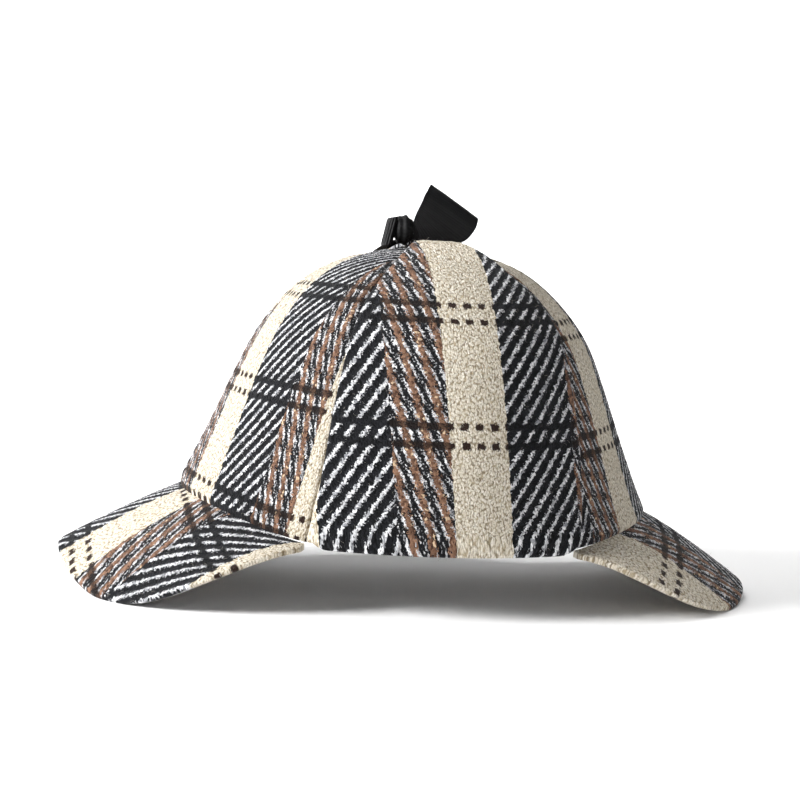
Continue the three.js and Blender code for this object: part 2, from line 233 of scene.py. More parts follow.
def unit(vectors):
    """The vectors at length 1."""
    return vectors / np.maximum(np.linalg.norm(vectors, axis=-1, keepdims=True), 1e-9)


def off_crown(angle, up, distance):
    """A point at a distance outside the crown."""
    e = 1e-3
    across = crown_face(angle + e, up) - crown_face(angle - e, up)
    rise = crown_face(angle, np.minimum(up + e, 1)) - crown_face(angle, np.maximum(up - e, 0))
    normal = unit(np.cross(across, rise))
    return crown_face(angle, up) + normal * np.asarray(distance)[..., None]


def angle_at(start, up, distance):
    """The angle a distance along a horizontal section from another angle."""
    steps = 16
    e = 1e-3
    angle = start + 0 * distance
    for _ in range(steps):
        speed = np.linalg.norm(crown_face(angle + e, up) - crown_face(angle, up), axis=-1) / e
        angle = angle + distance / steps / speed
    return angle


def ray_value(peak, column, share):
    """One value of a peak's table, at a share of the way from its centre line to its corner."""
    return along(peak[column], share, level_start=column != "heading")


def tuck(share):
    """How far a peak reaches in under the crown."""
    return PEAK_TUCK * (1 - share**4)


def lip(angle):
    """How far the crown's outer edge drops to follow the peak's slope."""
    total = 0
    for peak in PEAKS.values():
        share = np.arccos(np.clip(-peak["side"] * np.cos(angle), -1, 1)) / math.radians(peak["corner"])
        inside = np.minimum(share, 1)
        slope = ray_value(peak, "slope", inside) - ray_value(peak, "curl", inside) / 2
        total = total + np.where(share < 1, tuck(inside) * np.sin(np.radians(slope)), 0)
    return total


def lengths(points, axis):
    """Distance along an array of points from its first one."""
    step = np.linalg.norm(np.diff(points, axis=axis), axis=-1)
    first = np.zeros_like(np.take(step, [0], axis))
    return np.concatenate([first, np.cumsum(step, axis)], axis)


def stand(points):
    """Points of the hat's own frame, in the shared frame and in metres."""
    x, y, z = np.moveaxis(np.asarray(points, float), -1, 0)
    ahead = y * math.cos(LEAN) - z * math.sin(LEAN) + SHIFT
    high = y * math.sin(LEAN) + z * math.cos(LEAN) + LIFT
    return np.stack([x, ahead, np.maximum(high, 0.02)], -1) * 0.001


def declare_sheet(cut):
    """Works out the width and length, in metres, of a cloth's plain face before the weave is raised, given as
    a grid of points in mm; nothing further is done with them.
    """
    width = lengths(cut, 1)[:, -1].max() / 1000
    length = lengths(cut, 0)[-1].max() / 1000


COARSE = 3  # the hidden face of a cloth has one facet to this many of the shown one, each way


def cloth_body(name, face, lining, place, material):
    """A closed cloth between a shown face and its lining, both grids of points whose rows go up.
    place holds where each point of the shown face lies in the flat cloth, in mm."""
    rows, columns = face.shape[0] - 1, face.shape[1] - 1
    number = np.arange((rows + 1) * (columns + 1)).reshape(rows + 1, columns + 1)
    under = number.size + np.arange(lining.shape[0] * lining.shape[1]).reshape(lining.shape[:2])
    quads = np.stack([number[:-1, :-1], number[:-1, 1:], number[1:, 1:], number[1:, :-1]], -1)
    below = np.stack([under[:-1, :-1], under[1:, :-1], under[1:, 1:], under[:-1, 1:]], -1)
    faces = quads.reshape(-1, 4).tolist() + below.reshape(-1, 4).tolist()
    borders = [
        (number[0, ::-1], under[0, ::-1]), (number[-1], under[-1]),
        (number[:, 0], under[:, 0]), (number[::-1, -1], under[::-1, -1]),
    ]
    for shown, hidden in borders:
        for k in range(len(hidden) - 1):
            edge = shown[k * COARSE : k * COARSE + COARSE + 1]
            faces.append([*edge.tolist(), int(hidden[k + 1]), int(hidden[k])])
    mesh = bpy.data.meshes.new(name)
    points = np.concatenate([face.reshape(-1, 3), lining.reshape(-1, 3)])
    mesh.from_pydata(stand(points).tolist(), [], faces)
    spots = np.concatenate([place.reshape(-1, 2), place[::COARSE, ::COARSE].reshape(-1, 2)])
    corner = np.empty(len(mesh.loops), int)
    mesh.loops.foreach_get("vertex_index", corner)
    mesh.uv_layers.new(name="cloth").data.foreach_set("uv", spots[corner].ravel())
    mesh.polygons.foreach_set("use_smooth", np.ones(len(mesh.polygons), bool))
    mesh.set_sharp_from_angle(angle=math.radians(55))
    mesh.materials.append(material)
    piece = bpy.data.objects.new(name, mesh)
    bpy.context.collection.objects.link(piece)
    return piece


# The plaid, in mm of flat cloth. Stripes run along the warp in the order cream, black and white,
# brown, and pairs of dark picks cross them.
CREAM_WIDTH = 23.5
BLACK_WIDTH = 32.0
BROWN_WIDTH = 23.0
REPEAT = CREAM_WIDTH + BLACK_WIDTH + BROWN_WIDTH
TWILL = {"angle": 54, "gap": 4.9}  # white lines of the black stripe
CORD = {"angle": 100, "gap": 7.6}  # brown cords, which lean the other way
DASH = {"angle": 118, "gap": 3.1}  # short floats beside the cords
BAND_REPEAT = 55.0
BAND_START = 41.6
BAND_GAP = 8.2
BAND_HALF = 1.45
DOT_GAP = 6.05


def across_lines(lines):
    """The direction across some lines, divided by the gap between them, so that a point of cloth
    times it counts lines."""
    angle = math.radians(lines["angle"])
    return (math.sin(angle) / lines["gap"], -math.cos(angle) / lines["gap"], 0)


def relief(spot):
    """How far the cloth's ribs and cords stand up, in mm, where spot is a place in the flat cloth."""
    ripple = 0.35 * np.sin(spot[..., 1] / 3.1 + np.sin(spot[..., 0] / 5.3))
    stripe = np.mod(spot[..., 0] + ripple, REPEAT)
    wave = {}
    for name, lines in (("twill", TWILL), ("cord", CORD), ("dash", DASH)):
        x, y, _ = across_lines(lines)
        wave[name] = np.cos(2 * math.pi * (spot[..., 0] * x + spot[..., 1] * y))
    zigzag = np.cos(2 * math.pi * (spot[..., 1] / 3.2 + np.abs(np.mod(spot[..., 0] / 5.6, 1) - 0.5)))
    cream = 0.09 * zigzag
    black = 0.2 * wave["twill"]
    brown = 0.15 * wave["cord"] + 0.08 * wave["dash"]
    return np.where(stripe < CREAM_WIDTH, cream, np.where(stripe < CREAM_WIDTH + BLACK_WIDTH, black, brown))


def tweed(name):
    """Brushed wool-blend tweed: matt, hairy and lumpy, each float of yarn its own shade."""
    material = empty_material(name)
    tree = material.node_tree
    new = lambda *a, **k: add(tree, *a, **k)
    new("cloth", "ShaderNodeUVMap", uv_map="cloth")
    # the yarns wander by about half their width
    new("wander", "ShaderNodeTexNoise", "cloth", Scale=0.42, Detail=2, noise_dimensions="2D")
    new("wander centred", "ShaderNodeVectorMath", "wander:Color", (0.5, 0.5, 0.5), operation="SUBTRACT")
    new("wander size", "ShaderNodeVectorMath", "wander centred", operation="SCALE", Scale=1.7)
    new("spot", "ShaderNodeVectorMath", "cloth", "wander size", operation="ADD")
    new("axes", "ShaderNodeSeparateXYZ", "spot")
    # floats of yarn, about 1.1 mm, each lighter or darker
    new("float", "ShaderNodeTexVoronoi", "spot", Scale=0.95, voronoi_dimensions="2D", Randomness=0.85)
    new("float shade", "ShaderNodeSeparateColor", "float:Color")
    new("ragged", "ShaderNodeTexNoise", "cloth", Scale=1.15, Detail=2, noise_dimensions="2D")
    new("fibre", "ShaderNodeTexNoise", "cloth", Scale=3.4, Detail=3, noise_dimensions="2D")
    # stripes
    new("stripe", "ShaderNodeMath", "axes:X", REPEAT, 0.0, operation="WRAP")
    new("past cream", "ShaderNodeMath", "stripe", CREAM_WIDTH, operation="GREATER_THAN")
    new("past black", "ShaderNodeMath", "stripe", CREAM_WIDTH + BLACK_WIDTH, operation="GREATER_THAN")
    # counts of lines, folded so that 0 is the middle of a line and 0.5 half way to the next
    for label, lines in (("twill", TWILL), ("cord", CORD), ("dash", DASH)):
        new(f"{label} count", "ShaderNodeVectorMath", "spot", across_lines(lines), operation="DOT_PRODUCT")
        new(f"{label} place", "ShaderNodeMath", f"{label} count:Value", 0.5, operation="PINGPONG")
    new("rag", "ShaderNodeMapRange", "ragged", 0.25, 0.75, -0.16, 0.16)
    for label in ("twill", "cord", "dash"):
        new(f"{label} edge", "ShaderNodeMath", f"{label} place", "rag", operation="ADD")
    # pairs of dark picks
    new("picks up", "ShaderNodeMath", "axes:Y", BAND_START + BAND_GAP / 2, operation="SUBTRACT")
    new("picks", "ShaderNodeMath", "picks up", BAND_REPEAT / 2, -BAND_REPEAT / 2, operation="WRAP")
    new("picks away", "ShaderNodeMath", "picks", operation="ABSOLUTE")
    new("pick side", "ShaderNodeMath", "picks away", BAND_GAP / 2, operation="SUBTRACT")
    new("pick place", "ShaderNodeMath", "pick side", operation="ABSOLUTE")
    new("pick ragged", "ShaderNodeMath", "rag", 4.0, "pick place", operation="MULTIPLY_ADD")
    new("pick", "ShaderNodeMapRange", "pick ragged", BAND_HALF + 0.25, BAND_HALF - 0.25, 0.0, 1.0)
    # black stripe: white floats lie in slanting lines, and go under at the dark picks
    new("white line", "ShaderNodeMapRange", "twill edge", 0.175, 0.1, 0.0, 1.0)
    new("no pick", "ShaderNodeMath", 1.0, "pick", operation="SUBTRACT")
    new("white float", "ShaderNodeMath", "white line", "no pick", operation="MULTIPLY")
    new("white yarn", "ShaderNodeMixRGB", "float shade:Red", linear("#85878c"), linear("#f4f4f6"))
    new("black yarn", "ShaderNodeMixRGB", "float shade:Green", linear("#060709"), linear("#1b1c20"))
    new("black stripe", "ShaderNodeMixRGB", "white float", "black yarn", "white yarn")
    # brown stripe: rusty cords, white dashes to one side and black between
    new("cord body", "ShaderNodeMapRange", "cord edge", 0.22, 0.14, 0.0, 1.0)
    new("dash body", "ShaderNodeMapRange", "dash edge", 0.3, 0.2, 0.0, 1.0)
    new("beside cord", "ShaderNodeMapRange", "cord edge", 0.4, 0.32, 0.0, 1.0)
    new("dash beside", "ShaderNodeMath", "beside cord", "dash body", operation="MULTIPLY")
    new("dash shown", "ShaderNodeMath", "dash beside", "no pick", operation="MULTIPLY")
    new("brown yarn", "ShaderNodeMixRGB", "float shade:Blue", linear("#4a3328"), linear("#93705a"))
    new("fleck", "ShaderNodeMath", "float shade:Green", 0.97, operation="GREATER_THAN")
    new("flecked", "ShaderNodeMixRGB", "fleck", "brown yarn", linear("#cdb394"))
    new("dark ground", "ShaderNodeMixRGB", "dash shown", "black yarn", "white yarn")
    new("brown cords", "ShaderNodeMixRGB", "cord body", "dark ground", "flecked")
    new("pick dulls", "ShaderNodeMath", "pick", 0.72, operation="MULTIPLY")
    new("brown stripe", "ShaderNodeMixRGB", "pick dulls", "brown cords", linear("#1d1512"))
    # cream stripe: upright floats of cream over straw, each float's centre a painted highlight and the straw
    # round it partly painted shade, with the dark picks showing as dots
    new("upright", "ShaderNodeMapping", "spot", Rotation=(0, 0, math.radians(-16)), Scale=(1.25, 0.62, 1))
    new("knot of cream", "ShaderNodeTexVoronoi", "upright", Scale=1.0, voronoi_dimensions="2D",
        Randomness=0.8)
    # painted highlight and shade: each float is coloured light cream at its centre and shaded to straw at its
    # edges
    new("straw ragged", "ShaderNodeMath", "rag", 0.9, "knot of cream:Distance", operation="MULTIPLY_ADD")
    new("straw line", "ShaderNodeMapRange", "straw ragged", 0.25, 0.65, 0.0, 1.0)
    new("cream yarn", "ShaderNodeMixRGB", "float shade:Red", linear("#dad0bd"), linear("#f2ece0"))
    new("straw yarn", "ShaderNodeMixRGB", "float shade:Blue", linear("#82745d"), linear("#b7a98f"))
    new("cream cloth", "ShaderNodeMixRGB", "straw line", "cream yarn", "straw yarn")
    new("dot count", "ShaderNodeMath", "axes:X", DOT_GAP / 2, operation="PINGPONG")
    new("dot", "ShaderNodeMapRange", "dot count", 1.4, 1.9, 1.0, 0.0)
    new("dot shown", "ShaderNodeMath", "dot", "pick", operation="MULTIPLY")
    new("cream stripe", "ShaderNodeMixRGB", "dot shown", "cream cloth", linear("#2b1d18"))
    new("cream or black", "ShaderNodeMixRGB", "past cream", "cream stripe", "black stripe")
    new("plaid", "ShaderNodeMixRGB", "past black", "cream or black", "brown stripe")
    # brushed fibres lighten and darken it all
    new("brushed", "ShaderNodeMapRange", "fibre", 0.3, 0.7, 0.82, 1.12)
    new("brushed plaid", "ShaderNodeVectorMath", "plaid", "brushed", operation="MULTIPLY")
    # relief: rounded floats and loose fibre
    new("round", "ShaderNodeMapRange", "float:Distance", 0.0, 0.75, 1.0, 0.0)
    new("cream low", "ShaderNodeMath", "straw line", "past cream", operation="GREATER_THAN")
    new("sunk", "ShaderNodeMath", "cream low", -0.7, "round", operation="MULTIPLY_ADD")
    new("lump", "ShaderNodeMath", "white float", 0.5, "sunk", operation="MULTIPLY_ADD")
    new("hairy", "ShaderNodeMath", "fibre", 0.8, "lump", operation="MULTIPLY_ADD")
    new("bump", "ShaderNodeBump", Strength=0.9, Distance=0.0005, Height="hairy")
    new("wool", "ShaderNodeBsdfPrincipled", "brushed plaid", Roughness=0.93, Normal="bump",
        Specular_IOR_Level=0.12, Sheen_Weight=0.06, Sheen_Roughness=0.5)
    new("out", "ShaderNodeOutputMaterial", "wool")
    return material


CLOTH_STEP = 0.78  # mm between the points of a shown face
SEAM_FURROW = 0.7
SEAM_FURROW_REACH = 5.0
SEAM_ROLL = 1.15
SEAM_ROLL_REACH = 1.4
GORE_TOP = 0.997
CROWDING = 0.07  # how strongly columns of points crowd towards a cloth's sides
RIM_COVER = 0.45  # how far the shown face hangs past the crown's edge, over its seam

# gores: the seams that bound each, as angles from the front centre, and how its cloth was cut:
# how much finer the plaid lies than on the flap each way, its lean off the warp, and where it starts
GORES = [
    ("crown_panel_front_left", 0, 60, 1.27, 1.12, 0.03, 29.5, -13.3),
    ("crown_panel_side_left", 60, 120, 1.0, 1.0, 0.0, 58.0, 0.0),
    ("crown_panel_back_left", 120, 180, 1.24, 1.1, 0.0, 7.4, 2.4),
    ("crown_panel_back_right", 180, 240, 1.15, 1.1, 0.03, 50.0, -5.0),
    ("crown_panel_side_right", 240, 300, 1.0, 1.0, 0.0, 12.0, 0.0),
    ("crown_panel_front_right", 300, 360, 1.2, 1.1, -0.03, 66.0, -10.0),
]


def grid_size(length):
    """How many facets a length takes, as a multiple of COARSE."""
    return max(1, round(length / CLOTH_STEP / COARSE)) * COARSE


def rolled(distance, reach):
    """1 at an edge, falling to 0 at reach from it, on a quarter circle."""
    return 1 - np.sqrt(1 - np.clip(1 - distance / reach, 0, 1) ** 2)


def build_gore(name, start, end, scale_across, scale_up, slant, cut_across, cut_up, material):
    """One gore, between the seams at two angles, with its own cut of the plaid."""
    seams = np.radians([start, end])
    middle = seams.mean()
    fine = np.linspace(0, GORE_TOP, 400)
    meridian = lengths(crown_face(middle + 0 * fine, fine), 0)
    rows = grid_size(meridian[-1])
    columns = grid_size(1.02 * np.linalg.norm(np.subtract(*crown_face(seams, np.zeros(2)))))
    up_cloth = np.linspace(0, meridian[-1], rows + 1)[:, None]
    up = np.interp(up_cloth, meridian, fine)
    u = np.linspace(0, 1, columns + 1)[None, :]
    spread = u - CROWDING * np.sin(2 * math.pi * u)
    angle = seams[0] + (seams[1] - seams[0]) * spread + 0 * up
    up = up + 0 * angle
    across = lengths(crown_face(angle, up), 1)
    to_seam = np.minimum(across, across[:, -1:] - across)
    across = across - 0.5 * across[:, -1:]
    lean = slant * up_cloth
    spot_across = scale_across * (across + lean) + cut_across
    spot_up = scale_up * up_cloth + cut_up + 0 * across
    spot = np.stack([spot_across, spot_up], -1)
    pucker = 1 + 0.35 * np.sin(up_cloth / 1.9 + start) * np.sin(up_cloth / 7.3 + end)
    furrow = SEAM_FURROW * pucker * np.clip(1 - to_seam / SEAM_FURROW_REACH, 0, 1) ** 2
    swell = 0.5 * np.sin(across / 17 + start) * np.sin(up_cloth / 23 + end)
    calm = np.clip(to_seam / 3, 0, 1) * np.clip(up_cloth / 4, 0, 1)
    height = calm * (relief(spot) + swell) - furrow - SEAM_ROLL * rolled(to_seam, SEAM_ROLL_REACH)
    height = height - 0.9 * rolled(up_cloth, 1.6)
    face = off_crown(angle, up, height)
    face[0, :, 2] -= lip(angle[0]) + RIM_COVER
    lining = off_crown(angle, up, 0 * angle - CLOTH_WALL)[::COARSE, ::COARSE]
    lining[0, :, 2] = crown_face(angle, up)[0, ::COARSE, 2] - 0.2
    piece = cloth_body(f"gore_{name[12:]}", face, lining, spot, material)
    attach(piece, "root")
    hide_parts(name)
    declare_sheet(crown_face(angle, up))
    return piece


crown_cloth = tweed("brushed wool tweed, crown")
brushed = [(build_gore(*row, crown_cloth), "crown_tweed") for row in GORES]


# ================================================================ peaks
# Each peak is two pieces of the tweed over a curved board, sewn round the edge and turned, then set
# in under the crown's arched rim. The hat stands on their lowest edges, which press flat there.

PEAK_WALL = 3.0
PEAK_GAP = 0.9
PEAK_EDGE = 1.9  # radius of the turned edge
PEAK_SPAN = 225  # roughly how long a peak's outer edge and depth are, for the number of facets
PEAK_DEPTH = 66
EDGE_THINNING = 0.94  # how much of its thickness a turned cloth loses at its very edge
PEAK_BOW = 0.0024  # the cloth's picks bow round with the crown's edge, by this much per mm squared

# how the cloth of each peak was cut: its scale across and how that changes outward, its scale out,
# and where it starts each way
PEAK_CUTS = {
    "peak_front": (-1.45, 0.0028, 1.17, 37.0, -16.2),
    "peak_back": (0.87, 0.0, 1.17, -41.3, -32.1),
}


def peak_face(peak, across, out):
    """A peak's upper face, from corner to corner and from the crown to the edge. Below 0 it runs in
    under the crown."""
    share = np.abs(across)
    turn = math.radians(peak["corner"]) * across
    angle = turn if peak["side"] < 0 else math.pi - turn
    start = crown_face(angle, 0 * angle)
    length = np.where(out < 0, out * tuck(share), out * ray_value(peak, "reach", share))
    slope = np.radians(ray_value(peak, "slope", share)
                       + ray_value(peak, "curl", share) * (np.maximum(out, 0) - 0.5))
    heading = np.radians(ray_value(peak, "heading", share)) * np.sign(across)
    away = length * np.cos(slope)
    return np.stack([
        start[..., 0] + away * np.sin(heading),
        start[..., 1] + peak["side"] * away * np.cos(heading),
        start[..., 2] - lip(angle) - PEAK_GAP - length * np.sin(slope),
    ], -1)


def build_peak(name, material):
    """One peak, from under the crown's rim to its turned edge."""
    peak = PEAKS[name]
    scale_across, fan, scale_out, cut_across, cut_out = PEAK_CUTS[name]
    columns = grid_size(PEAK_SPAN)
    rows = grid_size(PEAK_DEPTH)
    u = np.linspace(0, 1, columns + 1)[None, :]
    v = np.linspace(0, 1, rows + 1)[:, None]
    inside = 3 / rows  # the first rows lie under the crown
    out = np.where(v < inside, v / inside - 1, (v - inside) / (1 - inside))
    out = out + 0.05 * np.sin(math.pi * np.clip(out, 0, 1)) * np.clip(out, 0, 1)
    across = (2 * u - 1) * peak["side"] + 0 * out
    out = out + 0 * across
    top = peak_face(peak, across, out)
    e = 1e-3
    inward = np.where(across >= 0, -e, e)
    beside = (peak_face(peak, across + inward, out) - top) / inward[..., None]
    beyond = peak_face(peak, across, out + e) - top
    down = unit(np.cross(beside, beyond))
    down = down * -np.sign(down[..., 2:])
    reach = ray_value(peak, "reach", np.abs(across))
    to_edge = np.minimum((1 - out) * reach, (1 - np.abs(across)) * 90 + 1.0)
    full = 1 - EDGE_THINNING * rolled(to_edge, PEAK_EDGE)
    x, y = top[..., 0], top[..., 1]
    bowed = peak["side"] * y + PEAK_BOW * x**2
    spot_across = (scale_across + fan * peak["side"] * y) * x + cut_across
    spot = np.stack([spot_across, scale_out * bowed + cut_out], -1)
    calm = np.clip((1 - out) * reach / 3, 0, 1) * np.clip(out * reach / 3, 0, 1)
    half = PEAK_WALL / 2
    crease = 0.3 * np.sin(x / 15 + y / 21) * np.sin(y / 11)
    face = top + down * (half - half * full - calm * (relief(spot) + crease))[..., None]
    under = (top + down * (half + half * full)[..., None])[::COARSE, ::COARSE]
    piece = cloth_body(f"cloth_{name}", face, under, spot, material)
    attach(piece, "root")
    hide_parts(name)
    declare_sheet(top)
    return piece


peak_cloth = tweed("brushed wool tweed over board, peaks")
brushed += [(build_peak(name, peak_cloth), "peak_tweed") for name in PEAKS]


# ================================================================ ear flaps
# Two layers of the tweed, sewn round and turned, hemmed in under the rim at each ear. They are
# folded up against the crown, where they lie a little proud, and narrow to the ties on top.

FLAP_STAND = 1.0
FLAP_WALL = 3.2
FACE = FLAP_STAND + FLAP_WALL
FLAP_EDGE = 2.2
FLAP_SPAN = 118  # roughly how wide a flap is, for the number of facets

# rows from the hem, round the fold and up to the tip
FLAP = {
    "up": (0, 0, 0.012, 0.06, 0.15, 0.25, 0.35, 0.45, 0.53, 0.6, 0.67, 0.75, 0.83, 0.9, 0.935),
    "inner": (-2, 0.8, 1, 1, 1, 1, 1, 1, 1, 1, 1, 1, 1, 1, 1),
    "inner drop": (0.5, 0.5, 0, 0, 0, 0, 0, 0, 0, 0, 0, 0, 0, 0, 0),
    "outer": (-2, 2.6, 4.2, 4.2, 4.2, 4.2, 4.2, 4.2, 4.2, 4.2, 4.2, 4.2, 4.2, 4.2, 4.2),
    "outer drop": (2.6, 2.6, 0.6, 0, 0, 0, 0, 0, 0, 0, 0, 0, 0, 0, 0),
    "front": (42, 45, 50.5, 51, 48.5, 46, 43.5, 40, 36.5, 32, 26, 19, 14, 10.5, 6.5),
    "back": (54, 57, 63, 65, 65.5, 65, 62.5, 59.5, 55, 47.5, 36.5, 27, 20, 14, 8),
}
# side of the head, and how the cloth was cut: lean off the warp, scale up, and where it starts
FLAP_CUTS = {
    "ear_flap_left": (1, 0.11, 1.038, 69.0, -11.2),
    "ear_flap_right": (-1, 0.06, 1.0, 30.0, -4.0),
}


def build_flap(name, material):
    """One ear flap, from its hem under the rim, round the fold and up to its tip."""
    side, slant, scale_up, cut_across, cut_up = FLAP_CUTS[name]
    fine = np.linspace(0, 1, 1500)
    centre = off_crown(0 * fine + math.pi / 2, along(FLAP["up"], fine), along(FLAP["outer"], fine))
    centre[:, 2] -= along(FLAP["outer drop"], fine)
    cloth_length = lengths(centre, 0)
    rows = grid_size(cloth_length[-1])
    columns = grid_size(FLAP_SPAN)
    up_cloth = np.linspace(0, cloth_length[-1], rows + 1)[:, None]
    share = np.interp(up_cloth, cloth_length, fine)
    u = np.linspace(0, 1, columns + 1)[None, :]
    spread = u - CROWDING * np.sin(2 * math.pi * u)
    front, back_width = along(FLAP["front"], share), along(FLAP["back"], share)
    across = -front + (front + back_width) * (spread if side > 0 else spread[:, ::-1])
    share = share + 0 * across
    up = np.clip(along(FLAP["up"], share), 0, 1)
    angle = angle_at(math.pi / 2, up, across)
    # the cloth is eased at the fold and at the tip, so that no pair of picks comes there
    eased = np.interp(up_cloth, (0, 14, 140, 180), (8, 14, 140, 160))
    spot = np.stack([across + slant * up_cloth + cut_across, scale_up * eased + cut_up + 0 * across], -1)
    to_edge = np.minimum(np.minimum(across + front, back_width - across), cloth_length[-1] - up_cloth + 0.6)
    full = 1 - EDGE_THINNING * rolled(to_edge, FLAP_EDGE)
    inner, outer = along(FLAP["inner"], share), along(FLAP["outer"], share)
    middle, half = (inner + outer) / 2, (outer - inner) / 2
    calm = np.clip(to_edge / 3, 0, 1)
    swell = 0.7 * np.sin(across / 19 + 1) * np.sin(up_cloth / 27) * np.clip(to_edge / 15, 0, 1)

    def layer(distance, drop):
        """One face of the flap, at a distance off the crown."""
        points = off_crown(angle, up, distance)
        points[..., 2] -= along(FLAP[drop], share)
        points[..., 0] *= side
        return points

    face = layer(middle + half * full + calm * (relief(spot) + swell), "outer drop")
    lining = layer(middle - half * full, "inner drop")[::COARSE, ::COARSE]
    piece = cloth_body(f"cloth_{name}", face, lining, spot, material)
    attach(piece, "root")
    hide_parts(name)
    declare_sheet(layer(middle, "outer drop"))
    return piece


flap_cloth = tweed("brushed wool tweed doubled, ear flaps")
brushed += [(build_flap(name, flap_cloth), "flap_tweed") for name in FLAP_CUTS]


# ================================================================ loose wool
# Brushing has pulled fibres out of the cloth. They stand a millimetre or two off it, bent and pale,
# and soften its outline.

# Wool fibre: pale, matt and nearly white, so that it shows as a thin bright line over the black.
loose_wool = empty_material("loose wool fibre")
tree = loose_wool.node_tree
add(tree, "place", "ShaderNodeTexCoord")
add(tree, "lengths of fibre", "ShaderNodeTexNoise", "place:Object", Scale=300)
add(tree, "shade", "ShaderNodeMixRGB", "lengths of fibre", linear("#6d6a66"), linear("#d9d4c8"))
add(tree, "wool", "ShaderNodeBsdfPrincipled", "shade", Roughness=0.9, Specular_IOR_Level=0.1)
add(tree, "out", "ShaderNodeOutputMaterial", "wool")

fuzz = bpy.data.node_groups.new("loose fibres", "GeometryNodeTree")
for label, way, kind in (
    ("Cloth", "INPUT", "NodeSocketGeometry"), ("Per Square Metre", "INPUT", "NodeSocketFloat"),
    ("Seed", "INPUT", "NodeSocketInt"), ("Fibres", "OUTPUT", "NodeSocketGeometry"),
):
    fuzz.interface.new_socket(label, in_out=way, socket_type=kind)
add(fuzz, "in", "NodeGroupInput")
add(fuzz, "roots", "GeometryNodeDistributePointsOnFaces", "in:Cloth")
fuzz.links.new(fuzz.nodes["in"].outputs["Per Square Metre"], fuzz.nodes["roots"].inputs["Density"])
fuzz.links.new(fuzz.nodes["in"].outputs["Seed"], fuzz.nodes["roots"].inputs["Seed"])
add(fuzz, "bent fibre", "GeometryNodeCurveQuadraticBezier", 4, (0, 0, -0.0003), (0.0001, 0, 0.0009),
    (0.0014, 0, 0.0011))
add(fuzz, "thickness", "GeometryNodeCurvePrimitiveCircle", 3, Radius=0.00003)
add(fuzz, "fibre", "GeometryNodeCurveToMesh", "bent fibre", "thickness", Fill_Caps=True)
add(fuzz, "any way round", "FunctionNodeRandomValue", data_type="FLOAT_VECTOR", Seed=5)
fuzz.nodes["any way round"].inputs[0].default_value = (-0.5, -0.5, 0)
fuzz.nodes["any way round"].inputs[1].default_value = (0.5, 0.5, 2 * math.pi)
add(fuzz, "turned", "FunctionNodeRotateEuler", "roots:Rotation", "any way round",
    rotation_type="EULER", space="LOCAL")
add(fuzz, "size", "FunctionNodeRandomValue", data_type="FLOAT", Seed=6)
fuzz.nodes["size"].inputs[2].default_value = 0.35
fuzz.nodes["size"].inputs[3].default_value = 1.15
add(fuzz, "planted", "GeometryNodeInstanceOnPoints", "roots:Points", Instance="fibre",
    Rotation="turned", Scale="size:Value")
fuzz.links.new(fuzz.nodes["size"].outputs[1], fuzz.nodes["planted"].inputs["Scale"])
add(fuzz, "real", "GeometryNodeRealizeInstances", "planted")
add(fuzz, "wool", "GeometryNodeSetMaterial", "real", Material=loose_wool)
add(fuzz, "out", "NodeGroupOutput", "wool")


def brush(cloth, seed, per_square_metre=30000):
    """Fibres standing out of one cloth, as a piece of their own."""
    fibres = bpy.data.objects.new(f"{cloth.name}_fibres", cloth.data.copy())
    bpy.context.collection.objects.link(fibres)
    modifier = fibres.modifiers.new("fuzz", "NODES")
    modifier.node_group = fuzz
    sockets = {item.name: item.identifier for item in fuzz.interface.items_tree}
    modifier[sockets["Per Square Metre"]] = float(per_square_metre)
    modifier[sockets["Seed"]] = seed
    evaluated = fibres.evaluated_get(bpy.context.evaluated_depsgraph_get())
    mesh = bpy.data.meshes.new_from_object(evaluated)
    fibres.modifiers.remove(modifier)
    points = np.empty(3 * len(mesh.vertices), np.float32)
    mesh.vertices.foreach_get("co", points)
    points[2::3] = np.maximum(points[2::3], 0.00002)  # none goes into the floor
    mesh.vertices.foreach_set("co", points)
    fibres.data = mesh
    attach(fibres, "root")


for seed, (cloth, slot) in enumerate(brushed):
    brush(cloth, seed)


# ================================================================ ribbon bow
# A black grosgrain ribbon ties the two flaps over the top. Its loops stand up stiffly on their ribs
# and its tails lie down the far flap.

RIBBON_WALL = 0.55
RIB = {"gap": 1.1, "height": 0.15}  # cross ribs, a little coarser than real ones so that they show
RIBBON_STEP = 0.25  # mm between points along a ribbon
RIBBON_COLUMNS = 12
TAIL_LENGTH = 62  # roughly, for the number of facets

# stations along each loop: a point of one selvedge and of the other, from the crown's top
LOOPS = {
    "bow_loop_back": (
        ((-9.4, -8, 9.4), (-13, -6.4, 14), (-12.5, -3.6, 20.8), (-10, -1.2, 27), (-6.5, -1, 27.6),
         (-3.5, -4, 22.6), (-2.8, -5.8, 17.2), (-3.4, -7, 13.8), (-5, -8, 10.2)),
        ((-10.4, -7, 5.4), (-15, 3, 3.6), (-13.5, 15, 6), (-11, 20.4, 12.6), (-7, 21, 13.6),
         (-4, 19.6, 9), (-3.4, 14.6, 3.2), (-4.4, 4, 1.7), (-5.6, -7.6, 3)),
    ),
    "bow_loop_front": (
        ((-5, -17.3, 0.7), (-3.4, -18.3, 0.3), (-3.6, -20.2, -0.1), (-6.2, -21.6, -0.3),
         (-9.6, -21.4, -0.3), (-12, -19.8, 0), (-11.6, -18.2, 0.4), (-9.6, -17.3, 0.8)),
        ((-5.2, -15.4, 13), (-3.8, -15.8, 12.8), (-3.8, -17.4, 12.5), (-6, -19.2, 12),
         (-9.2, -19, 11.8), (-11.6, -17.4, 12.3), (-11.4, -15.9, 12.6), (-9.8, -15.5, 12.8)),
    ),
}
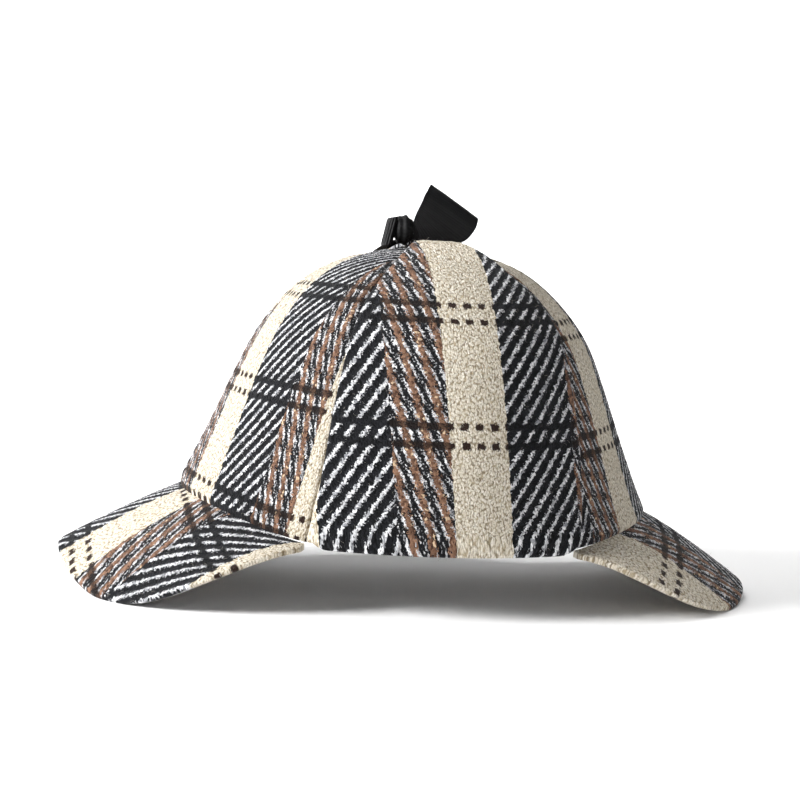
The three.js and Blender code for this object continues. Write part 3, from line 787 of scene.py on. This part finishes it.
# stations along each tail: share of the way up, distance off the flap's centre line, height, width
TAILS = {
    "bow_tail_front": {
        "up": (0.885, 0.845, 0.79, 0.7, 0.61, 0.53), "across": (-5, -6.5, -9, -13, -16, -18),
        "lift": (1.8, 0.8, 0.6, 0.6, 0.8, 2), "width": (8, 15, 20, 25, 25, 25),
    },
    "bow_tail_back": {
        "up": (0.885, 0.845, 0.79, 0.7, 0.6, 0.5), "across": (5, 9, 12.5, 17, 20.5, 23),
        "lift": (1.8, 0.8, 0.6, 0.6, 0.9, 2.4), "width": (8, 15, 20, 25, 25, 25),
    },
}
KNOT = {"middle": (-7.4, -12.2, 7), "radii": (4.9, 5, 6.6)}


def smooth_line(points, share):
    """A centripetal curve through the points, at shares from 0 to 1 of their number."""
    points = np.array(points, float)
    padded = np.concatenate([[2 * points[0] - points[1]], points, [2 * points[-1] - points[-2]]])
    place = np.clip(share, 0, 1) * (len(points) - 1)
    i = np.minimum(np.floor(place).astype(int), len(points) - 2)
    f = (place - i)[:, None]
    p = [padded[i + k] for k in range(4)]
    t = [np.maximum(np.linalg.norm(p[k + 1] - p[k], axis=1) ** 0.5, 1e-4)[:, None] for k in range(3)]
    leave = ((p[1] - p[0]) / t[0] - (p[2] - p[0]) / (t[0] + t[1]) + (p[2] - p[1]) / t[1]) * t[1]
    arrive = ((p[2] - p[1]) / t[1] - (p[3] - p[1]) / (t[1] + t[2]) + (p[3] - p[2]) / t[2]) * t[1]
    turn = -3 * p[1] + 3 * p[2] - 2 * leave - arrive
    return p[1] + leave * f + turn * f**2 + (2 * p[1] - 2 * p[2] + leave + arrive) * f**3


def grosgrain():
    """Grosgrain ribbon: polyester, close cross ribs that catch the light along their tops, which are also
    painted a touch lighter as a painted highlight, and a soft satin sheen over a near black."""
    material = empty_material("polyester grosgrain ribbon")
    tree = material.node_tree
    new = lambda *a, **k: add(tree, *a, **k)
    new("cloth", "ShaderNodeUVMap", uv_map="cloth")
    new("axes", "ShaderNodeSeparateXYZ", "cloth")
    new("rib", "ShaderNodeMath", "axes:Y", RIB["gap"] / 2, operation="PINGPONG")
    new("rib top", "ShaderNodeMapRange", "rib", 0.0, RIB["gap"] / 2, 1.0, 0.0)
    new("warp", "ShaderNodeMath", "axes:X", 0.16, operation="PINGPONG")
    new("thread", "ShaderNodeMath", "warp", 2.0, "rib top", operation="MULTIPLY_ADD")
    new("slub", "ShaderNodeTexNoise", "cloth", Scale=0.5, Detail=3, noise_dimensions="2D")
    # painted highlight: the rib tops are coloured a touch lighter than the hollows between them
    new("dye", "ShaderNodeMixRGB", "rib top", linear("#020203"), linear("#08080a"))
    new("worn", "ShaderNodeMapRange", "slub", 0.35, 0.7, 0.8, 1.35)
    new("dye worn", "ShaderNodeVectorMath", "dye", "worn", operation="MULTIPLY")
    new("satin", "ShaderNodeMapRange", "slub", 0.3, 0.7, 0.5, 0.62)
    new("bump", "ShaderNodeBump", Strength=0.55, Distance=0.00015, Height="thread")
    new("polyester", "ShaderNodeBsdfPrincipled", "dye worn", Roughness="satin", Normal="bump",
        Specular_IOR_Level=0.22)
    new("out", "ShaderNodeOutputMaterial", "polyester")
    return material


def ribbon_body(name, sheet, material):
    """A ribbon along the rows of a sheet of points in mm, with ribs on both faces."""
    along_ribbon = lengths(sheet[:, sheet.shape[1] // 2], 0)
    across = lengths(sheet, 1)
    onward = np.gradient(sheet, axis=0)
    normal = unit(np.cross(np.gradient(sheet, axis=1), onward))
    width = across[:, -1:]
    selvedge = rolled(np.minimum(across, width - across), 0.5)
    ribs = RIB["height"] * np.cos(2 * math.pi * along_ribbon / RIB["gap"])[:, None] * (1 - selvedge)
    thick = RIBBON_WALL / 2 * (1 - 0.6 * selvedge) + ribs
    place = np.stack([across + 0 * thick, along_ribbon[:, None] + 0 * thick], -1)
    face = sheet + normal * thick[..., None]
    lining = (sheet - normal * thick[..., None])[::COARSE, ::COARSE]
    piece = cloth_body(f"ribbon_{name}", face, lining, place, material)
    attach(piece, "root")
    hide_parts(name)
    declare_sheet(sheet)


ribbon_cloth = grosgrain()
crown_top = np.array([0, TOP_SHIFT, CROWN_HEIGHT])
for name, selvedges in LOOPS.items():
    rough = smooth_line(selvedges[0], np.linspace(0, 1, 200))
    rows = round(lengths(rough, 0)[-1] / RIBBON_STEP / COARSE) * COARSE
    share = np.linspace(0, 1, rows + 1)
    first, second = (smooth_line(points, share)[:, None] for points in selvedges)
    u = np.linspace(0, 1, RIBBON_COLUMNS + 1)[None, :, None]
    ribbon_body(name, crown_top + first + (second - first) * u, ribbon_cloth)

for name, tail in TAILS.items():
    rows = round(TAIL_LENGTH / RIBBON_STEP / COARSE) * COARSE
    share = np.linspace(0, 1, rows + 1)[:, None]
    u = np.linspace(0, 1, RIBBON_COLUMNS + 1)[None, :]
    across = along(tail["across"], share) + (u - 0.5) * along(tail["width"], share)
    up = along(tail["up"], share) + 0 * across
    lift = FACE + along(tail["lift"], share) + 0.4 + 0 * across
    sheet = off_crown(angle_at(math.pi / 2, up, across), up, lift)
    sheet[..., 0] *= -1
    ribbon_body(name, sheet, ribbon_cloth)

# the knot: the same ribbon pulled round the pinched middle, in close pleats
theta = np.linspace(0, 2 * math.pi, 97)[None, :]
phi = np.linspace(0.02, math.pi - 0.02, 49)[:, None]
pleat = 1 + 0.05 * np.cos(9 * phi + 0.4 * np.sin(theta))
ring = np.stack([np.sin(theta) * np.sin(phi), 0 * theta + np.cos(phi), np.cos(theta) * np.sin(phi)], -1)
knot_points = crown_top + np.array(KNOT["middle"]) + ring * np.array(KNOT["radii"]) * pleat[..., None]
columns = ring.shape[1] - 1
number = np.arange(ring.shape[0] * columns).reshape(-1, columns)
turned = np.roll(number, -1, 1)
faces = np.stack([number[:-1], turned[:-1], turned[1:], number[1:]], -1).reshape(-1, 4).tolist()
faces += [number[0, ::-1].tolist(), number[-1].tolist()]
mesh = bpy.data.meshes.new("ribbon_bow_knot")
mesh.from_pydata(stand(knot_points[:, :-1].reshape(-1, 3)).tolist(), [], faces)
corner = np.empty(len(mesh.loops), int)
mesh.loops.foreach_get("vertex_index", corner)
spots = np.stack([8 * phi + 0 * theta[:, :-1], 4 * theta[:, :-1] + 0 * phi], -1).reshape(-1, 2)
mesh.uv_layers.new(name="cloth").data.foreach_set("uv", spots[corner].ravel())
mesh.polygons.foreach_set("use_smooth", np.ones(len(mesh.polygons), bool))
mesh.materials.append(ribbon_cloth)
knot = bpy.data.objects.new("ribbon_bow_knot", mesh)
bpy.context.collection.objects.link(knot)
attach(knot, "root")
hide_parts("bow_knot")
